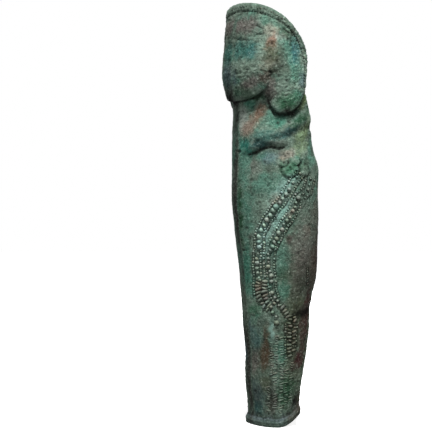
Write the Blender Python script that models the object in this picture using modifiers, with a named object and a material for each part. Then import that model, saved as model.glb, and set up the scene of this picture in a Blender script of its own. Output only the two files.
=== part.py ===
"""One ancient bronze greave, raised from a single sheet: knee hood, shin and flared ankle rim.

It stands on its ankle rim. The shin faces -X, the open back +X and the decorated flank -Y.
Sizes below are in millimetres, and the model is in metres with +Z up.
"""

import math

import bpy
import numpy as np

MM = 0.001

# Driving sizes
SHEET = 1.2  # thickness of the raised sheet
KNEE_START = 352.0  # height of the hood's lower back corners
HOOD_TOP = 441.0  # height of the hood's front
LIP_FLAT = 2.5  # plain upright edge that the greave stands on
FLAT_ROW_SLACK = 0.1  # rows up to this far above that edge stay on it
HEEL_RISE = 12.5  # how far the ankle rim lifts towards the back
HEEL_RISE_FROM = 0.5  # share of the flank where that lift starts
HEEL_CURVE = 1.3  # power of the lift's curve
HEEL_FADE = 60.0  # height where the lift no longer bends the rows
HOOD_CORNER = 396.0  # lowest end of the hood's top row, at its back corners
HOOD_CORNER_BLEND = 24.0  # height over which the shoulder's edge becomes the back edge
HOOD_LEVEL = 415.0  # height whose section stands for the whole top row
FRONT_SHARE = 0.56  # share of each half's columns from the shin to the widest point
FLANK_TURN = math.radians(30.0)  # the flank's reliefs are laid out on a plane turned this far from the side
RIDGE_BLEND = 0.06  # share beside the shin over which the flank's decoration fades in

# Leg sections from the ankle to the hood. The keel is the power of the curve round the shin:
# 2 is an ellipse and less is more pointed.
SECTION_COLUMNS = ("height", "front", "widest", "back", "half_width", "half_gap", "keel")
SECTIONS = (
    (0.0, -22.4, -3.0, 17.4, 30.6, 27.0, 2.15),
    (16.0, -21.7, -3.0, 17.4, 30.2, 26.5, 2.15),
    (42.0, -25.2, -3.0, 19.6, 32.0, 27.0, 2.05),
    (75.0, -25.7, -2.0, 24.8, 33.8, 28.5, 1.85),
    (102.0, -28.9, -1.5, 27.8, 37.0, 30.0, 1.75),
    (132.0, -31.2, -1.0, 27.4, 40.0, 32.0, 1.70),
    (160.0, -34.0, -0.5, 32.6, 44.5, 33.5, 1.60),
    (201.0, -39.4, 0.0, 32.0, 49.5, 34.0, 1.60),
    (243.0, -42.8, 0.0, 34.6, 51.5, 34.5, 1.70),
    (272.0, -41.4, -0.5, 34.0, 51.0, 37.0, 1.75),
    (288.0, -41.2, -0.8, 26.4, 50.2, 39.6, 1.78),
    (307.0, -41.0, -1.0, 23.0, 49.0, 42.0, 1.80),
    (335.0, -39.6, -3.0, 16.4, 47.0, 43.0, 1.90),
    (352.0, -41.5, -6.0, 12.0, 47.5, 45.0, 2.00),
    (378.0, -44.6, -10.0, 12.8, 49.0, 48.0, 2.10),
    (403.0, -46.4, -12.0, 8.0, 49.5, 48.5, 2.15),
    (444.0, -42.2, -12.0, 8.0, 45.6, 45.6, 2.15),
)

# Hood outline on the flank plane: a round shoulder that falls from the front to the back edge.
HOOD = {"centre_across": -52.0, "centre_up": 380.0, "across": 84.0, "up": 61.5, "power": 2.2}

# Tongues of the knee: swellings with a free lower edge that fade into the hood above.
TONGUE_COLUMNS = ("across", "up", "half_across", "drop", "lean", "power", "height", "full_below", "gone_above")
KNEECAP = (0.0, 374.0, 41.0, 33.0, 0.0, 2.8, 6.0, 362.0, 408.0)
OUTER_TONGUE = (13.8, 356.0, 17.4, 31.0, 0.14, 2.2, 6.5, 348.0, 398.0)
INNER_TONGUE = (15.0, 357.0, 15.5, 26.0, 0.0, 2.4, 6.5, 348.0, 395.0)
TONGUE_EDGE = 4.0  # width of a tongue's steep lower edge

# Swelling of the calf muscle, with a free lower end.
CALF_TONGUE = (34.0, 190.0, 18.0, 68.0, 0.1, 3.0, 3.4, 205.0, 262.0)

# Creases on the decorated flank, each a run of (across, up) points on the flank plane.
KNEE_CREASE = ((-26.0, 287.0), (-15.0, 285.5), (-2.0, 291.0), (6.0, 289.0), (14.0, 291.0))
KNEE_VALLEY = ((14.0, 291.0), (29.0, 306.0), (40.0, 309.0))
KNEE_CREASE_SIZE = {"depth": 2.6, "above": 4.0, "below": 9.0}
KNEE_VALLEY_SIZE = {"depth": 1.6, "above": 6.0, "below": 7.0}

# Raised bands on the decorated flank that the rows of bosses stand on.
BAND_FRONT = ((26.0, 268.0), (16.0, 246.0), (4.0, 232.0), (-6.0, 216.0), (-13.0, 198.0),
              (-16.0, 182.0), (-16.5, 165.0), (-13.0, 150.0), (-6.0, 136.0), (3.0, 122.0))
BAND_BACK = ((38.0, 258.0), (28.0, 242.0), (20.0, 228.0), (12.0, 212.0), (4.0, 200.0),
             (-3.0, 188.0), (-5.5, 172.0), (-3.0, 158.0), (2.0, 146.0), (12.0, 126.0),
             (20.0, 112.0), (19.0, 80.0), (17.0, 36.0))
BAND_RIB = ((3.0, 122.0), (1.0, 100.0), (0.5, 60.0), (0.5, 16.0))
BAND_SIZE = {"height": 1.3, "half_width": 6.5}
RIB_SIZE = {"height": 1.0, "half_width": 4.0}

BORDER = {"width": 8.0, "height": 1.3, "step": 2.0, "groove": 0.7, "groove_off": 1.5, "groove_width": 2.0,
          "starts_below": 6.0, "fade": 8.0}
LIP = {"groove_up": 12.5, "groove": 0.4, "groove_half": 4.5, "roll": 1.7, "roll_up": 5.2, "roll_half": 7.5}

# Columns on each half, and the rows as (up to this height, in this many even steps).
COLUMNS_PER_HALF = 20
COLOUR = (0.10, 0.20, 0.165)  # green patina
ROUGHNESS = 0.72
METALLIC = 0.35
ROW_STOPS = ((2.5, 1), (18.0, 5), (118.0, 11), (136.0, 3), (278.0, 14), (300.0, 5), (320.0, 2),
             (352.0, 8), (400.0, 5), (441.0, 4))


def smooth(value):
    share = np.clip(value, 0.0, 1.0)
    return share * share * (3.0 - 2.0 * share)


def half_way(distance, width):
    """Share of a step of this width that is centred on the line where the distance is nought."""
    return distance / width + 0.5


def along_sections(name, height):
    """A section size at any height, on a smooth curve through the rows of the table."""
    table = np.array(SECTIONS)
    heights = table[:, 0]
    values = table[:, SECTION_COLUMNS.index(name)]
    slopes = np.gradient(values, heights)
    row = np.clip(np.searchsorted(heights, height, side="right") - 1, 0, len(heights) - 2)
    span = heights[row + 1] - heights[row]
    t = np.clip((height - heights[row]) / span, 0.0, 1.0)
    rest = 1.0 - t
    start = values[row] * (1.0 + 2.0 * t) * rest**2 + slopes[row] * span * t * rest**2
    end = values[row + 1] * (3.0 - 2.0 * t) * t**2 - slopes[row + 1] * span * t**2 * rest
    return start + end


def leg_point(share, height):
    """Place on the plain leg form: share is 0 at the shin and 1 at the back edge, minus on the inner half."""
    size = {name: along_sections(name, height) for name in SECTION_COLUMNS[1:]}
    part = np.abs(share)
    turn = np.clip(part / FRONT_SHARE, 0.0, 1.0) * (math.pi / 2)
    back = np.clip((part - FRONT_SHARE) / (1.0 - FRONT_SHARE), 0.0, 1.0)
    power = 2.0 / size["keel"]
    front_x = size["widest"] - (size["widest"] - size["front"]) * np.cos(turn).clip(0.0) ** power
    front_y = size["half_width"] * np.sin(turn) ** power
    back_x = size["widest"] + (size["back"] - size["widest"]) * back
    back_y = size["half_width"] - (size["half_width"] - size["half_gap"]) * back**2
    on_front = part <= FRONT_SHARE
    x = np.where(on_front, front_x, back_x)
    y = np.where(on_front, front_y, back_y)
    return x, -np.sign(share) * y


def flank_across(x, y):
    """Where a point falls across the flank plane of its own half."""
    return x * math.cos(FLANK_TURN) + np.abs(y) * math.sin(FLANK_TURN)


def hood_height(across):
    """Height of the hood's outline over a place on the flank plane."""
    share = np.clip((across - HOOD["centre_across"]) / HOOD["across"], 0.0, 1.0) ** HOOD["power"]
    top = HOOD["centre_up"] + HOOD["up"] * (1.0 - share) ** (1.0 / HOOD["power"])
    return np.minimum(top, HOOD_TOP)


def row_heights():
    heights = [0.0]
    for stop, steps in ROW_STOPS:
        heights.extend(np.linspace(heights[-1], stop, steps + 1)[1:])
    return np.array(heights)


def grid():
    """Share and height of every grid point, with the hood's outline and the heel's lift worked in."""
    half = np.linspace(0.0, 1.0, COLUMNS_PER_HALF + 1)
    share = np.concatenate((-half[:0:-1], half))
    nominal, share = np.meshgrid(row_heights(), share, indexing="ij")
    x, y = leg_point(share, np.full_like(share, HOOD_LEVEL))
    top = np.maximum(hood_height(flank_across(x, y)), HOOD_CORNER)
    past = np.clip((np.abs(share) - HEEL_RISE_FROM) / (1.0 - HEEL_RISE_FROM), 0.0, 1.0)
    lift = HEEL_RISE * past**HEEL_CURVE
    lifted = nominal + lift * np.clip(1.0 - nominal / HEEL_FADE, 0.0, 1.0)
    hooded = KNEE_START + (nominal - KNEE_START) * (top - KNEE_START) / (HOOD_TOP - KNEE_START)
    return share, np.where(nominal > KNEE_START, hooded, lifted), lift


def tongue(across, up, row):
    """Height of a swelling that hangs like a tongue, steep at its free lower edge."""
    size = dict(zip(TONGUE_COLUMNS, row))
    aside = np.abs(across - size["across"] - size["lean"] * (up - size["up"])) / size["half_across"]
    down = np.maximum(size["up"] - up, 0.0) / size["drop"]
    reach = (aside ** size["power"] + down ** size["power"]) ** (1.0 / size["power"])
    inside = (1.0 - reach) * min(size["half_across"], size["drop"])
    fade = 1.0 - smooth((up - size["full_below"]) / (size["gone_above"] - size["full_below"]))
    return size["height"] * smooth(half_way(inside, TONGUE_EDGE)) * fade


def beside(across, up, route):
    """Signed distance to a route, plus above it, and the distance past its ends counted in."""
    nearest = np.full(np.shape(across), np.inf)
    side = np.ones(np.shape(across))
    for (a0, u0), (a1, u1) in zip(route, route[1:]):
        length = math.hypot(a1 - a0, u1 - u0)
        t = np.clip(((across - a0) * (a1 - a0) + (up - u0) * (u1 - u0)) / length**2, 0.0, 1.0)
        gap = np.hypot(across - a0 - t * (a1 - a0), up - u0 - t * (u1 - u0))
        above = np.where((a1 - a0) * (up - u0) - (u1 - u0) * (across - a0) >= 0.0, 1.0, -1.0)
        side = np.where(gap < nearest, above, side)
        nearest = np.minimum(gap, nearest)
    return nearest * side


def crease(across, up, route, size):
    away = beside(across, up, route)
    share = np.where(away > 0.0, away / size["above"], -away / size["below"])
    return -size["depth"] * (1.0 - smooth(share))


def band(across, up, route, size):
    return size["height"] * (1.0 - smooth(np.abs(beside(across, up, route)) / size["half_width"]))


def hood_edge_distance(across, up, back_across):
    """Distance to the free edge of the hood, over its shoulder and down its back."""
    rise = np.clip((up - HOOD["centre_up"]) / HOOD["up"], 0.0, 1.0) ** HOOD["power"]
    arc_across = HOOD["centre_across"] + HOOD["across"] * (1.0 - rise) ** (1.0 / HOOD["power"])
    on_back = smooth(half_way(HOOD_CORNER - up, HOOD_CORNER_BLEND))
    behind = np.maximum(arc_across + (back_across - arc_across) * on_back - across, 0.0)
    above = np.maximum(hood_height(across) - up, 0.0)
    return behind * above / np.maximum(np.hypot(behind, above), MM)


def border(across, up, back_across):
    """Raised border round the hood with a groove inside it."""
    distance = hood_edge_distance(across, up, back_across)
    inside = distance - BORDER["width"]
    raised = BORDER["height"] * (1.0 - smooth(half_way(inside, BORDER["step"])))
    groove = BORDER["groove"] * (1.0 - smooth(np.abs(inside - BORDER["groove_off"]) / BORDER["groove_width"]))
    return (raised - groove) * smooth((up - KNEE_START + BORDER["starts_below"]) / BORDER["fade"])


def ankle_lip(up):
    groove = LIP["groove"] * (1.0 - smooth(np.abs(up - LIP["groove_up"]) / LIP["groove_half"]))
    roll = LIP["roll"] * (1.0 - smooth(np.abs(up - LIP["roll_up"]) / LIP["roll_half"]))
    return roll - groove


def relief(share, up, lift, x, y):
    """How far the sheet is raised from the plain leg form, outwards."""
    across = flank_across(x, y)
    back_x, back_y = leg_point(np.ones_like(share), up)
    back_across = flank_across(back_x, back_y)
    decorated = smooth(share / RIDGE_BLEND)
    kneecap = tongue(np.abs(y), up, KNEECAP)
    tongues = np.where(share > 0.0, tongue(across, up, OUTER_TONGUE), tongue(across, up, INNER_TONGUE))
    total = np.maximum(kneecap, tongues) + border(across, up, back_across) + ankle_lip(up - lift)
    total += tongue(across, up, CALF_TONGUE) * decorated
    total += crease(across, up, KNEE_CREASE, KNEE_CREASE_SIZE) * decorated
    total += crease(across, up, KNEE_VALLEY, KNEE_VALLEY_SIZE) * decorated
    bands = np.maximum(band(across, up, BAND_FRONT, BAND_SIZE), band(across, up, BAND_BACK, BAND_SIZE))
    bands = np.maximum(bands, band(across, up, BAND_RIB, RIB_SIZE))
    return total + bands * decorated


def outward(points):
    """Unit normals of a grid of points, away from the leg."""
    along_rows = np.gradient(points, axis=1)
    along_columns = np.gradient(points, axis=0)
    normals = np.cross(along_rows, along_columns)
    return normals / np.linalg.norm(normals, axis=2, keepdims=True)


def shell_points():
    share, up, lift = grid()
    shaped = np.maximum(up, lift + LIP_FLAT)
    x, y = leg_point(share, shaped)
    plain = np.stack((x, y, up), axis=2)
    raised = plain + outward(plain) * relief(share, shaped, lift, x, y)[:, :, None]
    raised[:, :, 2] = np.where(up - lift < LIP_FLAT + FLAT_ROW_SLACK, up, raised[:, :, 2])
    raised[0, :, :2] = raised[1, :, :2]
    return raised


def patinated_bronze():
    material = bpy.data.materials.new("patinated bronze")
    material.use_nodes = True
    shader = material.node_tree.nodes["Principled BSDF"]
    shader.inputs["Base Color"].default_value = (*COLOUR, 1.0)
    shader.inputs["Roughness"].default_value = ROUGHNESS
    shader.inputs["Metallic"].default_value = METALLIC
    return material


def grid_faces(rows, columns):
    faces = []
    for row in range(rows - 1):
        for column in range(columns - 1):
            corner = row * columns + column
            faces.append((corner, corner + 1, corner + columns + 1, corner + columns))
    return faces


def greave_shell(collection):
    """The whole greave as one sheet, solid from its outer face inwards."""
    points = shell_points()
    rows, columns, _ = points.shape
    lowest = points.reshape(-1, 3).min(axis=0)
    highest = points.reshape(-1, 3).max(axis=0)
    points -= np.array(((lowest[0] + highest[0]) / 2, (lowest[1] + highest[1]) / 2, lowest[2]))
    mesh = bpy.data.meshes.new("greave_shell")
    mesh.from_pydata((points.reshape(-1, 3) * MM).tolist(), [], grid_faces(rows, columns))
    mesh.shade_smooth()
    mesh.materials.append(patinated_bronze())
    shell = bpy.data.objects.new("greave_shell", mesh)
    collection.objects.link(shell)
    wall = shell.modifiers.new("sheet", "SOLIDIFY")
    wall.thickness = SHEET * MM
    wall.offset = -1.0
    wall.use_even_offset = True
    wall.use_quality_normals = True
    return shell


def build():
    for item in list(bpy.data.objects):
        bpy.data.objects.remove(item, do_unlink=True)
    collection = bpy.data.collections.new("greave")
    bpy.context.scene.collection.children.link(collection)
    greave_shell(collection)


build()
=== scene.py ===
import math
from functools import partial

import bpy
import numpy as np
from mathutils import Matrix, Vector, noise


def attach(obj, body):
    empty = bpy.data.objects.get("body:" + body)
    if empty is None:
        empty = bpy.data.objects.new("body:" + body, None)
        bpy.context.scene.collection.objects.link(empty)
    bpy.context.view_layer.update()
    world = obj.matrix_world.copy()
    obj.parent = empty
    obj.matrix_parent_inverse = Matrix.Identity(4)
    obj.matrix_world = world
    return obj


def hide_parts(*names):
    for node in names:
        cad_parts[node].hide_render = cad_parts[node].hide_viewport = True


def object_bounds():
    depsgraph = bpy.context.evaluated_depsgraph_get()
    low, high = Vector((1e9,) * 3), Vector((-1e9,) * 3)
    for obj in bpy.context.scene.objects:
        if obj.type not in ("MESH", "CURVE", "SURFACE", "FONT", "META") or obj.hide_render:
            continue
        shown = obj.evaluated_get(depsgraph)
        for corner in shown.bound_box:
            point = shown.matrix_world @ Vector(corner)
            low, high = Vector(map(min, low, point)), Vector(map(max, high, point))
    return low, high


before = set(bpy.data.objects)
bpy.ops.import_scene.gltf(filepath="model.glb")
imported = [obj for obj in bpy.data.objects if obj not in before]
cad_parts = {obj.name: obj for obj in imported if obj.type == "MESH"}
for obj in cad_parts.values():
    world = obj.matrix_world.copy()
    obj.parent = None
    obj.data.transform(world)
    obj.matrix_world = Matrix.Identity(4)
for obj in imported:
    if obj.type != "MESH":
        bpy.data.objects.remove(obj)  # one shell on the body "root"
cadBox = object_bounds()
print("frame loaded")

mm = 0.001

# The leg's form, in millimetres from the ankle up. The shin is at -X and the open back at +X.
leg = {
    "sheet": 1.2,
    "kneeStart": 352.0,
    "hoodTop": 441.0,
    "lipFlat": 2.5,  # the rim is left flat up to here, to stand on
    "heelRise": 12.5,
    "heelRiseFrom": 0.42,
    "heelCurve": 1.5,
    "heelFade": 60.0,
    "hood": {"across": (-52.0, 84.0), "up": (380.0, 61.5), "power": 2.2},  # centre and half size each way
    "hoodCorner": 396.0,
    "hoodCornerBlend": 24.0,
    "hoodLevel": 415.0,
    "frontShare": 0.56,
    "flankTurn": math.radians(30.0),
    "ridgeBlend": 0.06,
    "sizes": ("height", "front", "widest", "back", "halfWidth", "halfGap", "keel"),
    "sections": (
        (0, -22.4, -3, 17.4, 30.6, 27, 2.15),
        (16, -21.7, -3, 17.4, 30.2, 26.5, 2.15),
        (42, -25.2, -3, 19.6, 32, 27, 2.05),
        (75, -25.7, -2, 24.8, 33.8, 28.5, 1.85),
        (102, -28.9, -1.5, 27.8, 37, 30, 1.75),
        (132, -31.2, -1, 27.4, 40, 32, 1.70),
        (160, -34, -0.5, 32.6, 44.5, 33.5, 1.60),
        (201, -39.4, 0, 32, 49.5, 34, 1.60),
        (243, -42.8, 0, 34.6, 51.5, 34.5, 1.70),
        (272, -41.4, -0.5, 34, 51, 37, 1.75),
        (288, -41.2, -0.8, 26.4, 50.2, 39.6, 1.78),
        (307, -41, -1, 23, 49, 42, 1.80),
        (335, -39.6, -3, 16.4, 47, 43, 1.90),
        (352, -41.5, -6, 12, 47.5, 45, 2.00),
        (378, -44.6, -10, 12.8, 49, 48, 2.10),
        (403, -46.4, -12, 8, 49.5, 48.5, 2.15),
        (444, -42.2, -12, 8, 45.6, 45.6, 2.15),
    ),
}

# How finely the sheet is made: columns on the decorated and the plain half, rows as (up to, step).
mesh = {
    "decoratedColumns": 104,
    "plainColumns": 64,
    "rowSteps": ((18.0, 0.8), (278.0, 1.15), (318.0, 1.0), (372.0, 0.72), (441.0, 1.25)),
    "innerEveryRow": 3,
    "innerEveryColumn": 2,
}


def unit(value):  # held between 0 and 1
    return np.clip(value, 0.0, 1.0)


def smooth(value):
    share = unit(value)
    return share * share * (3.0 - 2.0 * share)


def rising(value, start, over):  # 0 up to the start, 1 once that far past it
    return smooth((value - start) / over)


def fading(value, full, gone):
    return 1.0 - rising(value, full, gone - full)


def ramp(value, shape):
    by, start, over = shape
    return by * rising(value, start, over)


def crossing(distance, width):  # from 0 to 1 across a line
    return smooth(distance / width + 0.5)


def bump(distance, reach):  # 1 on the line, 0 at the reach
    return 1.0 - smooth(np.abs(distance) / reach)


def ridge(value, shape):
    place, half, height = shape
    return height * bump(value - place, half)


def circle(sides):
    return [(math.cos(2 * math.pi * k / sides), math.sin(2 * math.pi * k / sides)) for k in range(sides)]


def alongSections(name, height):
    table = np.array(leg["sections"])
    heights = table[:, 0]
    values = table[:, leg["sizes"].index(name)]
    slopes = np.gradient(values, heights)
    row = np.clip(np.searchsorted(heights, height, side="right") - 1, 0, len(heights) - 2)
    span = heights[row + 1] - heights[row]
    t = unit((height - heights[row]) / span)
    rest = 1.0 - t
    start = values[row] * (1.0 + 2.0 * t) * rest**2 + slopes[row] * span * t * rest**2
    end = values[row + 1] * (3.0 - 2.0 * t) * t**2 - slopes[row + 1] * span * t**2 * rest
    return start + end


def legPoint(share, height):  # share 0 at the shin, 1 at the back edge, minus on the plain half
    size = {name: alongSections(name, height) for name in leg["sizes"][1:]}
    front = leg["frontShare"]
    part = np.abs(share)
    turn = unit(part / front) * (math.pi / 2)
    back = unit((part - front) / (1.0 - front))
    power = 2.0 / size["keel"]
    frontX = size["widest"] - (size["widest"] - size["front"]) * np.cos(turn).clip(0.0) ** power
    frontY = size["halfWidth"] * np.sin(turn) ** power
    backX = size["widest"] + (size["back"] - size["widest"]) * back
    backY = size["halfWidth"] - (size["halfWidth"] - size["halfGap"]) * back**2
    onFront = part <= front
    return np.where(onFront, frontX, backX), -np.sign(share) * np.where(onFront, frontY, backY)


def flankAcross(x, y):  # place across the plane on which the flank's decoration is laid out
    return x * math.cos(leg["flankTurn"]) + np.abs(y) * math.sin(leg["flankTurn"])


def hoodArc(value, given, wanted):  # the knee hood's round outline, read either way
    hood = leg["hood"]
    (centre, half), (otherCentre, otherHalf) = hood[given], hood[wanted]
    share = unit((value - centre) / half) ** hood["power"]
    return otherCentre + otherHalf * (1.0 - share) ** (1.0 / hood["power"])


def hoodHeight(across):
    return np.minimum(hoodArc(across, "across", "up"), leg["hoodTop"])


def hoodEdgeDistance(across, up, backAcross):
    arcAcross = hoodArc(up, "up", "across")
    onBack = crossing(leg["hoodCorner"] - up, leg["hoodCornerBlend"])
    behind = np.maximum(arcAcross + (backAcross - arcAcross) * onBack - across, 0.0)
    above = np.maximum(hoodHeight(across) - up, 0.0)
    nearNothing = 0.001  # keeps the division off zero
    return behind * above / np.maximum(np.hypot(behind, above), nearNothing)


def rowHeights():
    heights = [0.0, leg["lipFlat"]]
    for stop, step in mesh["rowSteps"]:
        steps = round((stop - heights[-1]) / step)
        heights.extend(np.linspace(heights[-1], stop, steps + 1)[1:])
    spare = (len(heights) - 1) % mesh["innerEveryRow"]
    for _ in range(spare):  # leave a row count that the inner wall's coarser rows divide
        del heights[-2]
    return np.array(heights)


def sheetGrid():
    plain = np.linspace(0.0, 1.0, mesh["plainColumns"] + 1)
    decorated = np.linspace(0.0, 1.0, mesh["decoratedColumns"] + 1)
    share = np.concatenate((-plain[:0:-1], decorated))
    nominal, share = np.meshgrid(rowHeights(), share, indexing="ij")
    x, y = legPoint(share, np.full_like(share, leg["hoodLevel"]))
    top = np.maximum(hoodHeight(flankAcross(x, y)), leg["hoodCorner"])
    past = unit((np.abs(share) - leg["heelRiseFrom"]) / (1.0 - leg["heelRiseFrom"]))
    lift = leg["heelRise"] * past ** leg["heelCurve"]
    lifted = nominal + lift * unit(1.0 - nominal / leg["heelFade"])
    knee = leg["kneeStart"]
    hooded = knee + (nominal - knee) * (top - knee) / (leg["hoodTop"] - knee)
    return share, np.where(nominal > knee, hooded, lifted), lift


# Raised bosses in rows on the flank plane, as (across, up, size), the size a boss's radius.
bosses = {
    "large": (
        ((27, 263.6, 1.6), (23.6, 259.4, 1.7), (19.7, 253.8, 1.8), (15.6, 246.5, 2.0), (12.4, 241.8, 2.0),
        (9.3, 237.2, 2.1), (6.2, 233, 2.2), (2.1, 228.9, 2.3), (-0.4, 225.4, 2.2), (-3.1, 220.6, 2.3),
        (-7.3, 215.9, 2.5), (-9.3, 210.2, 2.6), (-12.5, 205, 2.7), (-14.5, 198.3, 2.7), (-14.6, 192.5, 2.5),
        (-14.5, 187.4, 2.4), (-15.6, 181.1, 2.3), (-16.6, 175.8, 2.1), (-16.6, 170.8, 2.1),
        (-16.3, 165.5, 2.0), (-16, 160.4, 2.0), (-14.5, 155.2, 1.8)), ((38.4, 257.9, 1.6), (36.8, 252, 1.6),
        (35.3, 246.5, 1.7), (29.6, 242.4, 1.9), (24.9, 238.2, 2.1), (22.6, 233.5, 2.0), (21.8, 228.9, 2.2),
        (19.2, 224.7, 2.2), (16.6, 218.5, 2.0), (13.5, 215.4, 2.0), (10.4, 211.2, 2.1), (8.3, 206, 2.1),
        (5.2, 201.9, 2.0), (3.1, 196.7, 2.0), (0.5, 192.6, 1.9), (-1, 188.4, 1.9), (-3.1, 184.3, 1.9),
        (-5.2, 180.1, 1.8), (-5.2, 175.9, 1.8), (-5.2, 171.8, 1.8), (-5.2, 167.6, 1.8), (-3.6, 162.4, 1.9),
        (-2.1, 157.8, 2.1), (-2.3, 152.1, 2.0), (-2.6, 146.4, 1.7), (-1.3, 140.2, 1.9), (1.5, 135, 2.0)),
        ((4.6, 132, 1.8), (5.6, 127, 1.7)), ((0.8, 129.8, 1.6), (-2.5, 125.8, 1.7), (0, 120, 1.8)),
        ((3, 115.5, 1.9), (3.6, 109.5, 2.2)),
    ),
    "ribs": (  # bosses stretched across their row
        ((-14.6, 154, 1.2), (-15.4, 150.4, 1.2), (-15.8, 147, 1.2), (-16, 143.4, 1.3), (-15.6, 139.8, 1.3),
        (-14.8, 136, 1.3), (-13.4, 132.4, 1.2), (-11.6, 129, 1.2), (-9, 125.8, 1.1), (-6, 122.8, 1.0)),
        ((-8.2, 152, 1.2), (-8.8, 148.4, 1.2), (-9.2, 144.8, 1.3), (-9, 141, 1.3), (-8.6, 137.4, 1.3),
        (-7.6, 133.8, 1.2), (-6, 130.4, 1.2), (-4, 127, 1.1)), ((7.4, 127.4, 1.1), (9.4, 124.8, 1.2),
        (11.4, 122, 1.2), (13.2, 119.2, 1.2), (14.6, 116, 1.1)), ((16.4, 116.5, 1.1), (17, 113, 1.2),
        (16.6, 109.2, 1.2), (17.2, 105.6, 1.2), (16.4, 102, 1.2), (17, 98, 1.2), (16.6, 94.2, 1.2),
        (17, 90.4, 1.1), (16.6, 86.4, 1.2), (17, 82.6, 1.1), (16.8, 78.6, 1.1), (17.2, 74.6, 1.0)),
        ((21.8, 114.6, 1.0), (22.4, 111, 1.1), (22, 107.4, 1.1), (22.4, 103.8, 1.1), (21.8, 100, 1.1),
        (22.2, 96, 1.1), (21.6, 92.4, 1.0), (21.8, 88.4, 1.0), (21.4, 84.4, 1.0), (21.2, 80.4, 1.0)),
    ),
    "tickRoutes": (  # routes filled with low ribs towards the ankle
        ((2.4, 57), (2.2, 40), (2.4, 20)), ((-4.6, 42), (-4.8, 30), (-4, 17)), ((8.6, 94), (8.8, 74),
        (9, 52)), ((14, 72), (13.6, 48), (13, 24)), ((19.6, 72), (19, 50), (18.2, 26)), ((8.6, 48),
        (8.2, 30), (7.8, 16)), ((4, 98), (3.6, 84), (3.4, 62)), ((-1.4, 88), (-1.2, 72), (-1.8, 50)),
    ),
    "smallRoutes": (  # routes filled with small bosses
        ((-12.6, 190), (-13, 180), (-13.2, 170), (-12.4, 158)), ((-9.4, 192), (-9.6, 182), (-9.8, 170),
        (-8.6, 157)), ((-20.4, 178), (-20.6, 168), (-19.4, 158), (-20.2, 148), (-19.4, 138)), ((1.4, 178),
        (0.8, 168), (2, 158)), ((-7, 166), (-6.4, 158)), ((2.6, 152), (2.8, 144), (5.6, 137)), ((-4.4, 146),
        (-3.4, 138), (-0.6, 132)), ((34, 150), (33.6, 158), (33, 166)), ((-8.6, 206), (-10, 198),
        (-9.8, 192)), ((1.4, 196), (2.4, 188), (1.4, 180)), ((-18.6, 190), (-20, 184), (-20.4, 180)),
        ((12.6, 108), (12.8, 98), (12.6, 88), (12.8, 78)), ((25.8, 104), (25, 94), (24.4, 84)),
    ),
    "plainRoutes": (
        ((14, 252), (10, 225), (8, 190), (9, 150), (11, 105), (12, 55)), ((27, 232), (26, 205), (24, 165),
        (22, 120), (21, 75)),
    ),
    "small": {"pitch": 2.8, "size": 1.05},
    "ticks": {"pitch": 2.5, "size": 0.7},
    "plain": {"pitch": 5.0, "size": 1.8},
    "hood": {"pitch": 2.9, "size": 0.9},
    "beside": 4.7,  # small rows this far to each side of the two long large rows
    "besideUpTo": 16,
    "largeScale": 0.93,
    "top": {"scale": 0.72, "from": 232.0, "over": 26.0},  # the large rows sink in towards the knot
    "hoodEdge": {"in": 3.4, "centreUp": 385.0, "reach": 90.0, "angles": (-48.0, 124.0, 60), "halvings": 24},
    # drop sets the ring round each boss lower; the ring sinks the sheet and is painted dark, as a crevice and
    # as the shade below the boss
    "rings": {"from": 10.0, "upTo": 275.0, "near": 4.0, "drop": 0.8,
              "large": (1.15, 1.1), "small": (1.15, 1.1), "ribs": (1.25, 0.9)},
    "kinds": {  # width, height and twist of a bead against its radius, and the seed
        "large_beads": (1.0, 0.9, 0.0, 3),
        "small_beads": (1.0, 0.9, 0.0, 5),
        "cross_ribs": (2.3, 0.7, 0.4, 11),
        "low_ticks": (4.0, 0.5, 0.4, 13),
        "plain_side_beads": (1.0, 0.9, 0.0, 7),
        "hood_beads": (1.0, 0.5, 0.0, 9),
    },
    "jitter": 0.28,
    "wander": 0.35,
    "shade": ((0.95, 0.9, 0.88), (1.3, 1.06, 1.04)),  # each bead's red, green and blue, against the sheet's
    "largeRings": ((1.28, -0.5), (1.12, 0.0), (0.95, 0.38), (0.66, 0.74), (0.33, 0.94)),  # radius, height
    "smallRings": ((1.25, -0.5), (1.0, 0.15), (0.62, 0.75)),
    "largeSides": 12,
    "smallSides": 8,
    # each bead is darker on its skirt and lower side, as dirt in its crevice and painted shade, and brighter
    # on top, as wear and a painted highlight
    "wearAndPaintedLight": {  # start, by rise, by the side below, strength
        "worn": (-0.3, 1.2, -0.5, 0.8),
        "hollow": (0.45, -1.1, 0.75, 1.0),
    },
}


def walk(route, pitch):  # even steps along a route of any columns
    route = np.array(route, float)
    lengths = np.concatenate(([0.0], np.cumsum(np.hypot(*np.diff(route[:, :2], axis=0).T))))
    stops = np.linspace(0.0, lengths[-1], max(2, round(lengths[-1] / pitch) + 1))
    return np.stack([np.interp(stops, lengths, route[:, k]) for k in range(route.shape[1])], axis=1)


def beside(route, offset):  # the same route moved sideways
    route = np.array(route, float)[:, :2]
    ahead = np.gradient(route, axis=0)
    ahead /= np.linalg.norm(ahead, axis=1, keepdims=True)
    return route + np.stack((ahead[:, 1], -ahead[:, 0]), axis=1) * offset


def filled(routes, kind):  # routes filled with bosses of one size, evenly
    walked = [walk(route, bosses[kind]["pitch"]) for route in routes]
    return [np.concatenate((row, np.full((len(row), 1), bosses[kind]["size"])), axis=1) for row in walked]


def bossRows():
    large, ribs = ([np.array(route, float) for route in bosses[kind]] for kind in ("large", "ribs"))
    flanking = [beside(route[:bosses["besideUpTo"]], side * bosses["beside"])
                for route in large[:2] for side in (-1, 1)]
    top = bosses["top"]
    for route in large:
        sunk = rising(route[:, 1], top["from"], top["over"])
        route[:, 2] *= bosses["largeScale"] * (1.0 - (1.0 - top["scale"]) * sunk)
    return {"large": large, "ribs": ribs, "ticks": filled(bosses["tickRoutes"], "ticks"),
            "small": filled((*flanking, *bosses["smallRoutes"]), "small")}


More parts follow.
